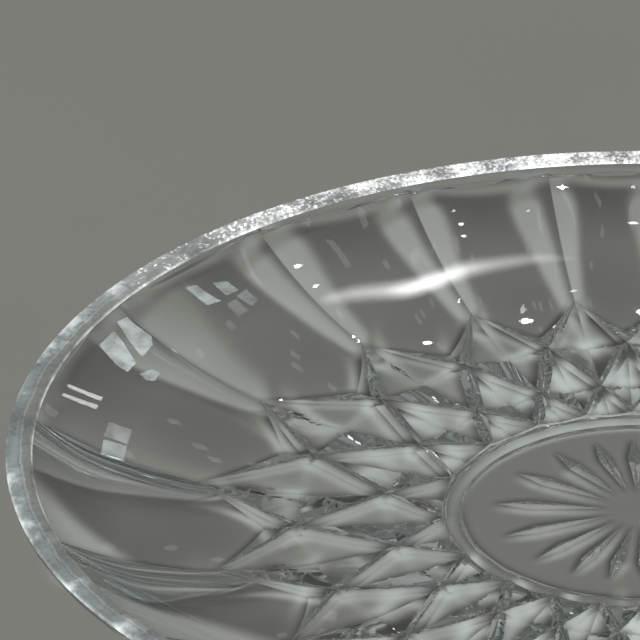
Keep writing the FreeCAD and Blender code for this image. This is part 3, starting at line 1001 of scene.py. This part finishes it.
def table_material():
    """Matt grey, lit and shaded by the thrown light, and clear from below."""
    material, nodes = new_material("matt_table")
    mottle = nodes.noise(nodes.add("TexCoord")["Object"], scale=7.0, detail=6.0, roughness=0.6)
    base = nodes.ramp(mottle, ((0.3, (0.385, 0.387, 0.362)), (0.7, (0.415, 0.417, 0.392))))
    light = nodes.add("Attribute", attribute_name="thrown_light")["Fac"]
    # bright places turn cooler
    cool = nodes.rescale(light, start=1.0, stop=2.2)
    cooled = nodes.mix_color(cool, base, (0.375, 0.398, 0.392, 1))
    level = nodes.math("MULTIPLY_ADD", light, 0.88, 0.12)
    color = nodes.add("VectorMath", {0: cooled, "Scale": level}, operation="SCALE")[0]
    matt = nodes.add("BsdfPrincipled", {
        "Base Color": color, "Roughness": 0.62, "Specular IOR Level": 0.2})[0]
    from_below = nodes.add("NewGeometry")["Backfacing"]
    clear = nodes.add("BsdfTransparent")[0]
    surface = nodes.add("MixShader", {0: from_below, 1: matt, 2: clear})[0]
    nodes.add("OutputMaterial", {"Surface": surface})
    return material


dish_mesh.materials.append(clear_glass())
dish_mesh.materials.append(rim_glass())
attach(dish, "root")
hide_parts("glass_dish")


# ===================================================================== table
def make_table():
    """A sheet just under z = 0, finely divided where the thrown light falls."""
    fine_x = np.arange(MAP_X[0] + 1, MAP_X[1] - 1, 0.3)
    fine_y = np.arange(MAP_Y[0] + 1, MAP_Y[1] - 1, 0.3)
    far = np.array([90, 110, 150, 220, 350, 600, 1000, 1800, 3200.0])
    x, y = np.meshgrid(np.concatenate([-far[::-1], fine_x, far]),
                       np.concatenate([-far[::-1], fine_y, far]), indexing="ij")
    places = np.stack([x / 1000, y / 1000, np.full(x.shape, -0.00006)], -1).reshape(-1, 3)
    ids = np.arange(x.size).reshape(x.shape)
    quads = np.stack([ids[:-1, :-1], ids[1:, :-1], ids[1:, 1:], ids[:-1, 1:]], -1).reshape(-1, 4)
    mesh = bpy.data.meshes.new("table")
    mesh.vertices.add(len(places))
    mesh.vertices.foreach_set("co", places.ravel())
    mesh.loops.add(quads.size)
    mesh.loops.foreach_set("vertex_index", quads.ravel().astype(np.int32))
    mesh.polygons.add(len(quads))
    mesh.polygons.foreach_set("loop_start", (np.arange(len(quads)) * 4).astype(np.int32))
    mesh.update(calc_edges=True)
    values = light_at(thrown_light(), x, y).ravel().astype(np.float32)
    mesh.attributes.new("thrown_light", "FLOAT", "POINT").data.foreach_set("value", values)
    table = new_object("table", mesh)
    mesh.materials.append(table_material())


make_table()
# the table's attribute stands in for the dish's shadow
dish.visible_shadow = False
dish.visible_diffuse = False

# ===================================================================== lights
world = bpy.data.worlds.new("studio")
bpy.context.scene.world = world
world_nodes = Nodes(world)
world_height = world_nodes.add("SeparateXYZ", {0: world_nodes.add("TexCoord")["Generated"]})["Z"]
# a faintly warm grey at each level
world_greys = [(position, (grey * 0.985, grey, grey * 0.97)) for position, grey in (
    (0.25, 0.30), (0.45, 0.36), (0.62, 0.16), (0.8, 0.12))]
world_color = world_nodes.ramp(
    world_height, [(0.0, (0.10, 0.10, 0.095)), *world_greys, (1.0, (0.20, 0.205, 0.20))])
world_light = world_nodes.add("Background", {"Color": world_color, "Strength": 1.0})[0]
world_nodes.add("OutputWorld", {"Surface": world_light})

sun = bpy.data.lights.new("key", "SUN")
sun.energy = 1.55
sun.angle = math.radians(3.0)
sun.color = (1.0, 0.995, 0.975)
key = new_object("key", sun)
key_azimuth, key_elevation = math.radians(KEY_AZIMUTH), math.radians(KEY_ELEVATION)
to_key = Vector((math.sin(key_azimuth) * math.cos(key_elevation),
                 math.cos(key_azimuth) * math.cos(key_elevation), math.sin(key_elevation)))
key.rotation_euler = to_key.to_track_quat("Z", "Y").to_euler()
key.location = to_key * 1.5

# Ceiling strip: rows along it, five places across each, in metres.
STRIP = [
    [(0.313, 0.2067, 1.2466), (0.302, 0.2316, 1.2456), (0.2907, 0.2564, 1.244),
     (0.2793, 0.2811, 1.2419), (0.2677, 0.3058, 1.2392)],
    [(0.2977, 0.1663, 1.2566), (0.2808, 0.2067, 1.2556), (0.2633, 0.247, 1.2531),
     (0.2453, 0.2874, 1.2491), (0.2269, 0.3275, 1.2436)],
    [(0.2637, 0.1368, 1.2687), (0.2443, 0.1868, 1.2675), (0.2241, 0.2369, 1.264),
     (0.2032, 0.2871, 1.2584), (0.1815, 0.3371, 1.2504)],
    [(0.2205, 0.138, 1.2783), (0.2015, 0.1903, 1.276), (0.1817, 0.2429, 1.2713),
     (0.1611, 0.2957, 1.2641), (0.1398, 0.3484, 1.2543)],
    [(0.189, 0.1361, 1.2845), (0.1706, 0.1903, 1.2815), (0.1514, 0.2449, 1.2759),
     (0.1313, 0.2997, 1.2676), (0.1105, 0.3546, 1.2566)],
    [(0.1672, 0.1083, 1.2904), (0.1499, 0.164, 1.288), (0.1317, 0.2203, 1.2829),
     (0.1128, 0.277, 1.2749), (0.093, 0.334, 1.264)],
    [(0.151, 0.0612, 1.2951), (0.1351, 0.1179, 1.2943), (0.1184, 0.1754, 1.2908),
     (0.1009, 0.2337, 1.2843), (0.0826, 0.2924, 1.2748)],
    [(0.1342, 0.0115, 1.2978), (0.1199, 0.0689, 1.2989), (0.1048, 0.1273, 1.2971),
     (0.0889, 0.1866, 1.2925), (0.0723, 0.2467, 1.2847)],
    [(0.1031, -0.0116, 1.3008), (0.0913, 0.0424, 1.3024), (0.0789, 0.0974, 1.3016),
     (0.0658, 0.1534, 1.2981), (0.0522, 0.2103, 1.292)],
    [(0.071, -0.0282, 1.3029), (0.0615, 0.0221, 1.3047), (0.0515, 0.0735, 1.3045),
     (0.0411, 0.1258, 1.3021), (0.0302, 0.1789, 1.2973)],
    [(0.0285, -0.018, 1.3055), (0.0226, 0.0195, 1.3065), (0.0165, 0.0577, 1.3063),
     (0.0103, 0.0964, 1.305), (0.0038, 0.1356, 1.3024)],
    [(-0.0226, 0.0289, 1.3069), (-0.0255, 0.0533, 1.3066), (-0.0284, 0.0779, 1.3059),
     (-0.0314, 0.1027, 1.3046), (-0.0345, 0.1277, 1.3029)],
]
STRIP_POWER = [0.0, 6.0, 9.0, 12.0, 22.0, 26.0, 22.0, 15.0, 8.0, 6.0, 3.5, 0.0]   # per row

# Window panes, bars and doors mirrored in the bowl: name, power, corners in metres.
PANELS = (
    ("pane_a1", 7.0, [(0.6455, 0.1702, 1.099), (0.6244, 0.1518, 1.115),
                      (0.5185, 0.2352, 1.1605), (0.5414, 0.2618, 1.143)]),
    ("pane_a2", 6.0, [(0.5913, 0.132, 1.1373), (0.5631, 0.1147, 1.1548),
                      (0.5066, 0.1665, 1.1779), (0.5237, 0.1986, 1.1646)]),
    ("pane_a3", 3.0, [(0.4964, 0.2034, 1.1772), (0.4926, 0.1597, 1.1854),
                      (0.4339, 0.2231, 1.2014), (0.4268, 0.2659, 1.1957)]),
    ("pane_a4", 2.4, [(0.4947, 0.2523, 1.1686), (0.4875, 0.2216, 1.1781),
                      (0.4241, 0.2898, 1.1913), (0.4268, 0.3302, 1.1796)]),
    ("pane_b1", 7.0, [(0.7101, 0.422, 0.9796), (0.7012, 0.3844, 1.0023),
                      (0.5899, 0.4577, 1.0496), (0.5613, 0.4963, 1.0492),
                      (0.548, 0.5667, 1.02), (0.5751, 0.5469, 1.0143)]),
    ("pane_b2", 7.5, [(0.6853, 0.5582, 0.9276), (0.6918, 0.4705, 0.9714),
                      (0.6349, 0.5172, 0.9901), (0.5479, 0.6004, 0.9999),
                      (0.5416, 0.6484, 0.9723), (0.5828, 0.6316, 0.9568)]),
    ("pane_c", 6.0, [(0.5059, 0.6471, 0.9948), (0.4896, 0.6163, 1.0239),
                     (0.4567, 0.6301, 1.0326), (0.4465, 0.668, 1.0128),
                     (0.4731, 0.6692, 0.9981)]),
    ("bar_1", 9.0, [(0.6328, 0.7925, 0.7796), (0.6334, 0.779, 0.7933),
                    (0.5299, 0.782, 0.872), (0.5234, 0.8007, 0.8587)]),
    ("bar_2", 8.0, [(0.6151, 0.8383, 0.7446), (0.6161, 0.8248, 0.7593),
                    (0.5168, 0.8191, 0.8449), (0.5124, 0.8387, 0.8276)]),
    ("door_1", 3.6, [(0.4503, 0.871, 0.8339), (0.376, 0.8747, 0.8716),
                     (0.3536, 0.9258, 0.8257), (0.4264, 0.9272, 0.783)]),
    ("door_2", 4.2, [(0.4191, 0.9376, 0.7745), (0.3516, 0.9334, 0.8177),
                     (0.3249, 0.9872, 0.7619), (0.39, 0.9917, 0.7189)]),
)

# Small lamps mirrored in the bowl: power, outline in metres.
SPOTS = (
    (45, [(0.0528, -0.5248, 1.1792), (0.0622, -0.5196, 1.1811), (0.0651, -0.5075, 1.1866),
          (0.0706, -0.5194, 1.1807), (0.0811, -0.5243, 1.1775), (0.0717, -0.5295, 1.1757),
          (0.0687, -0.5413, 1.1701), (0.0632, -0.5296, 1.1762)]),
    (12, [(0.233, -0.3576, 1.2216), (0.2338, -0.3516, 1.2234), (0.2355, -0.347, 1.2244),
          (0.2391, -0.3518, 1.2222), (0.2423, -0.3579, 1.2195), (0.2416, -0.3638, 1.2177),
          (0.2398, -0.3684, 1.2166), (0.2363, -0.3637, 1.2189)]),
    (34, [(0.1977, -0.2602, 1.2555), (0.1986, -0.254, 1.2568), (0.2006, -0.2492, 1.2575),
          (0.2047, -0.2546, 1.2556), (0.2084, -0.2613, 1.2533), (0.2075, -0.2675, 1.252),
          (0.2054, -0.2722, 1.2513), (0.2014, -0.267, 1.2533)]),
    (26, [(0.1721, -0.1648, 1.2782), (0.1728, -0.1583, 1.2791), (0.1745, -0.1535, 1.2795),
          (0.1786, -0.1593, 1.278), (0.1824, -0.1665, 1.2763), (0.1817, -0.173, 1.2754),
          (0.1799, -0.1777, 1.2749), (0.1758, -0.172, 1.2765)]),
    (9, [(0.1003, -0.3576, 1.2421), (0.101, -0.3499, 1.2445), (0.1025, -0.3427, 1.2465),
         (0.1056, -0.3435, 1.246), (0.1084, -0.3462, 1.2449), (0.1078, -0.3539, 1.2425),
         (0.1063, -0.3611, 1.2404), (0.1032, -0.3604, 1.241)]),
    (22, [(0.427, 0.0074, 1.2227), (0.4265, 0.0192, 1.2229), (0.4281, 0.0294, 1.2222),
          (0.4364, 0.0251, 1.219), (0.4444, 0.0181, 1.2157), (0.4449, 0.0065, 1.2155),
          (0.4431, -0.0038, 1.2161), (0.4349, 0.0003, 1.2195)]),
    (20, [(0.3343, 0.1471, 1.2481), (0.3323, 0.1587, 1.2474), (0.3318, 0.1696, 1.2462),
          (0.3376, 0.1687, 1.2445), (0.3437, 0.1648, 1.2431), (0.3457, 0.1533, 1.2438),
          (0.3461, 0.1424, 1.2449), (0.3404, 0.1433, 1.2466)]),
    (30, [(-0.0787, -0.2517, 1.2734), (-0.0755, -0.2443, 1.2752), (-0.0713, -0.2386, 1.2767),
          (-0.0664, -0.244, 1.2758), (-0.0625, -0.2511, 1.2745), (-0.0656, -0.2584, 1.2726),
          (-0.0699, -0.264, 1.2711), (-0.0748, -0.2587, 1.272)]),
    (60, [(-0.0996, 0.6948, 1.1167), (-0.1025, 0.7094, 1.1074), (-0.1041, 0.719, 1.1011),
          (-0.0987, 0.7019, 1.1123), (-0.0925, 0.6817, 1.125), (-0.0896, 0.6673, 1.1337),
          (-0.0883, 0.6575, 1.1394), (-0.0938, 0.6745, 1.1292)]),
    (7, [(-0.0669, 0.5697, 1.1858), (-0.0719, 0.5944, 1.1737), (-0.075, 0.6111, 1.1651),
         (-0.0677, 0.5847, 1.1786), (-0.0594, 0.5528, 1.1938), (-0.0546, 0.5282, 1.2047),
         (-0.0518, 0.5111, 1.2119), (-0.0589, 0.5376, 1.2005)]),
    (45, [(-0.0771, 0.7372, 1.0894), (-0.0788, 0.7424, 1.0857), (-0.0786, 0.7444, 1.0843),
          (-0.0716, 0.7328, 1.0925), (-0.0644, 0.7202, 1.1009), (-0.0629, 0.715, 1.1044),
          (-0.0632, 0.7128, 1.1059), (-0.0701, 0.7245, 1.0981)]),
    (40, [(-0.0678, 0.4088, 1.248), (-0.0686, 0.4176, 1.2452), (-0.069, 0.4243, 1.243),
          (-0.0673, 0.4168, 1.2455), (-0.0654, 0.4073, 1.2486), (-0.0646, 0.3985, 1.2513),
          (-0.0643, 0.3919, 1.2533), (-0.066, 0.3993, 1.251)]),
    (45, [(-0.1279, 0.6583, 1.1353), (-0.1283, 0.6776, 1.1241), (-0.1285, 0.6925, 1.1152),
          (-0.1271, 0.6778, 1.1242), (-0.1255, 0.6586, 1.1354), (-0.1249, 0.6395, 1.1461),
          (-0.1249, 0.6247, 1.154), (-0.1264, 0.6393, 1.146)]),
    (12, [(-0.0606, -0.5275, 1.1779), (-0.0591, -0.5196, 1.1818), (-0.057, -0.5135, 1.1848),
          (-0.0543, -0.5195, 1.1821), (-0.052, -0.5272, 1.1785), (-0.0535, -0.535, 1.1746),
          (-0.0556, -0.541, 1.1715), (-0.0583, -0.5352, 1.1743)]),
    (1.3, [(0.2081, -0.0066, 1.2859), (0.2047, 0.0262, 1.2868), (0.2052, 0.0476, 1.2865),
           (0.2209, 0.0083, 1.2836), (0.2365, -0.0372, 1.279), (0.2392, -0.0693, 1.2765),
           (0.2377, -0.0906, 1.2751), (0.2232, -0.0526, 1.281)]),
    (1.6, [(0.2048, -0.0751, 1.283), (0.1996, -0.0427, 1.2861), (0.196, -0.0187, 1.2877),
           (0.203, -0.0473, 1.2852), (0.2109, -0.0829, 1.2812), (0.2157, -0.1149, 1.2771),
           (0.2185, -0.1383, 1.2737), (0.2123, -0.1105, 1.2783)]),
    (40, [(0.0229, 0.7908, 1.0441), (0.0219, 0.7931, 1.0423), (0.0222, 0.7945, 1.0412),
          (0.0268, 0.7911, 1.0435), (0.0314, 0.7872, 1.0462), (0.0324, 0.7848, 1.048),
          (0.0322, 0.7834, 1.0492), (0.0276, 0.7868, 1.0469)]),
    (40, [(0.0807, 0.5596, 1.1837), (0.0788, 0.5645, 1.1816), (0.0781, 0.5678, 1.1801),
          (0.0824, 0.562, 1.1824), (0.087, 0.5551, 1.1851), (0.0889, 0.5502, 1.1872),
          (0.0896, 0.5468, 1.1887), (0.0853, 0.5527, 1.1865)]),
    (34, [(0.055, 0.5951, 1.1688), (0.0531, 0.6, 1.1664), (0.0523, 0.6031, 1.1648),
          (0.0566, 0.5973, 1.1675), (0.0612, 0.5904, 1.1706), (0.0632, 0.5856, 1.1728),
          (0.0639, 0.5823, 1.1744), (0.0597, 0.5882, 1.1719)]),
    (14, [(0.0281, 0.4106, 1.2472), (0.0247, 0.4231, 1.2433), (0.0226, 0.4322, 1.2403),
          (0.027, 0.4211, 1.2438), (0.0322, 0.4071, 1.2481), (0.0355, 0.3947, 1.2517),
          (0.0376, 0.3855, 1.2544), (0.0332, 0.3966, 1.2513)]),
)


def light_panel(name, corners, strength, paned=False, in_mirror=True):
    """A flat glowing panel, seen in the upper surface or else only through the cuts."""
    mesh = bpy.data.meshes.new(name)
    mesh.from_pydata([tuple(corner) for corner in corners], [], [tuple(range(len(corners)))])
    mesh.update()
    panel = new_object(name, mesh)
    material, nodes = new_material(name)
    color = (1, 1, 1, 1)
    if paned:
        # cool, cloudy daylight
        color = (0.86, 0.97, 1.0, 1)
        haze = nodes.noise(nodes.add("TexCoord")["Object"], scale=16.0, detail=4.0, roughness=0.6)
        strength = nodes.rescale(haze, start=0.36, stop=0.62,
                                 low=strength * 0.45, high=strength * 1.15)
    glow = nodes.add("Emission", {"Color": color, "Strength": strength})[0]
    nodes.add("OutputMaterial", {"Surface": glow})
    mesh.materials.append(material)
    panel.visible_diffuse = False
    panel.visible_shadow = False
    panel.visible_camera = False
    panel.visible_glossy = in_mirror
    panel.visible_transmission = not in_mirror


def ceiling_strip():
    """Curved strip, brightest in its middle and soft at its edges."""
    stations = np.arange(len(STRIP))
    rails = [[spline(stations, [row[j][axis] for row in STRIP]) for axis in range(3)]
             for j in range(5)]
    power_along = spline(stations, STRIP_POWER)
    count_along, count_across = 56, 9
    places, power = [], []
    for i in range(count_along):
        along = (len(STRIP) - 1) * i / (count_along - 1)
        row = np.array([[float(rail[axis](along)) for axis in range(3)] for rail in rails])
        for j in range(count_across):
            across = -1 + 2 * j / (count_across - 1)
            position = (across + 1) * 2
            rail = min(int(position), 3)
            share = position - rail
            place = row[rail] * (1 - share) + row[rail + 1] * share
            places.append(tuple(float(v) for v in place))
            power.append(max(0.0, float(power_along(along)))
                         * math.exp(-(across / 0.58) ** 2) * (1 - abs(across)) ** 0.3)
    quads = []
    for i in range(count_along - 1):
        for j in range(count_across - 1):
            first, above = i * count_across + j, (i + 1) * count_across + j
            quads.append((first, above, above + 1, first + 1))
    mesh = bpy.data.meshes.new("ceiling_strip")
    mesh.from_pydata(places, [], quads)
    mesh.update()
    values = np.array(power, np.float32)
    mesh.attributes.new("power", "FLOAT", "POINT").data.foreach_set("value", values)
    strip = new_object("ceiling_strip", mesh)
    material, nodes = new_material("ceiling_strip")
    strength = nodes.add("Attribute", attribute_name="power")["Fac"]
    glow = nodes.add("Emission", {"Strength": strength})[0]
    nodes.add("OutputMaterial", {"Surface": glow})
    mesh.materials.append(material)
    strip.visible_diffuse = False
    strip.visible_shadow = False
    strip.visible_camera = False
    strip.visible_transmission = False


def sparks():
    """Small square lamps all round, seen only through the cuts."""
    rng = np.random.default_rng(11)
    distance = 1.3
    for i in range(16):
        azimuth = rng.uniform(0, 2 * math.pi)
        elevation = math.radians(rng.uniform(22, 75))
        x = math.cos(azimuth) / math.tan(elevation)
        y = math.sin(azimuth) / math.tan(elevation)
        half = 0.09 / math.sin(elevation) ** 2 / 2
        directions = [(x, y + half, 1), (x + half, y, 1), (x, y - half, 1), (x - half, y, 1)]
        corners = [Vector(direction).normalized() * distance for direction in directions]
        light_panel("spark%02d" % i, corners, strength=1.5, in_mirror=False)


ceiling_strip()
for name, power, corners in PANELS:
    light_panel(name, corners, power, paned=not name.startswith("bar"))
for i, (power, corners) in enumerate(SPOTS):
    light_panel("spot%02d" % i, corners, power)
sparks()

# ==================================================================== camera
CAMERA_PLACE = Vector((0.052, -0.35204, 0.323765))      # metres
LENS, SENSOR = 261.3375, 36.0                           # millimetres
# yaw turns from +Y towards +X, pitch looks down, roll turns about the view
YAW, PITCH, ROLL = (math.radians(angle) for angle in (-13.31, 39.41, -6.52))

forward = Vector((math.sin(YAW) * math.cos(PITCH), math.cos(YAW) * math.cos(PITCH),
                  -math.sin(PITCH)))
level_right = Vector((math.cos(YAW), -math.sin(YAW), 0))
level_up = level_right.cross(forward)
right = math.cos(ROLL) * level_right + math.sin(ROLL) * level_up
up = -math.sin(ROLL) * level_right + math.cos(ROLL) * level_up
camera_data = bpy.data.cameras.new("camera")
camera_data.sensor_width = SENSOR
camera_data.sensor_fit = "HORIZONTAL"
camera_data.lens = LENS
camera_data.clip_start = 0.01
camera_data.clip_end = 50.0
camera = new_object("camera", camera_data)
columns = (right, up, -forward, CAMERA_PLACE)
camera.matrix_world = Matrix([[column[i] for column in columns] for i in range(3)]
                             + [[0, 0, 0, 1]])
scene = bpy.context.scene
scene.camera = camera

# ==================================================================== render
scene.view_settings.view_transform = "Standard"
scene.view_settings.look = "None"
scene.cycles.caustics_refractive = False
scene.cycles.caustics_reflective = False
scene.cycles.max_bounces = 32
scene.cycles.transmission_bounces = 24
scene.cycles.glossy_bounces = 24
scene.cycles.sample_clamp_indirect = 4.0
scene.cycles.use_denoising = True
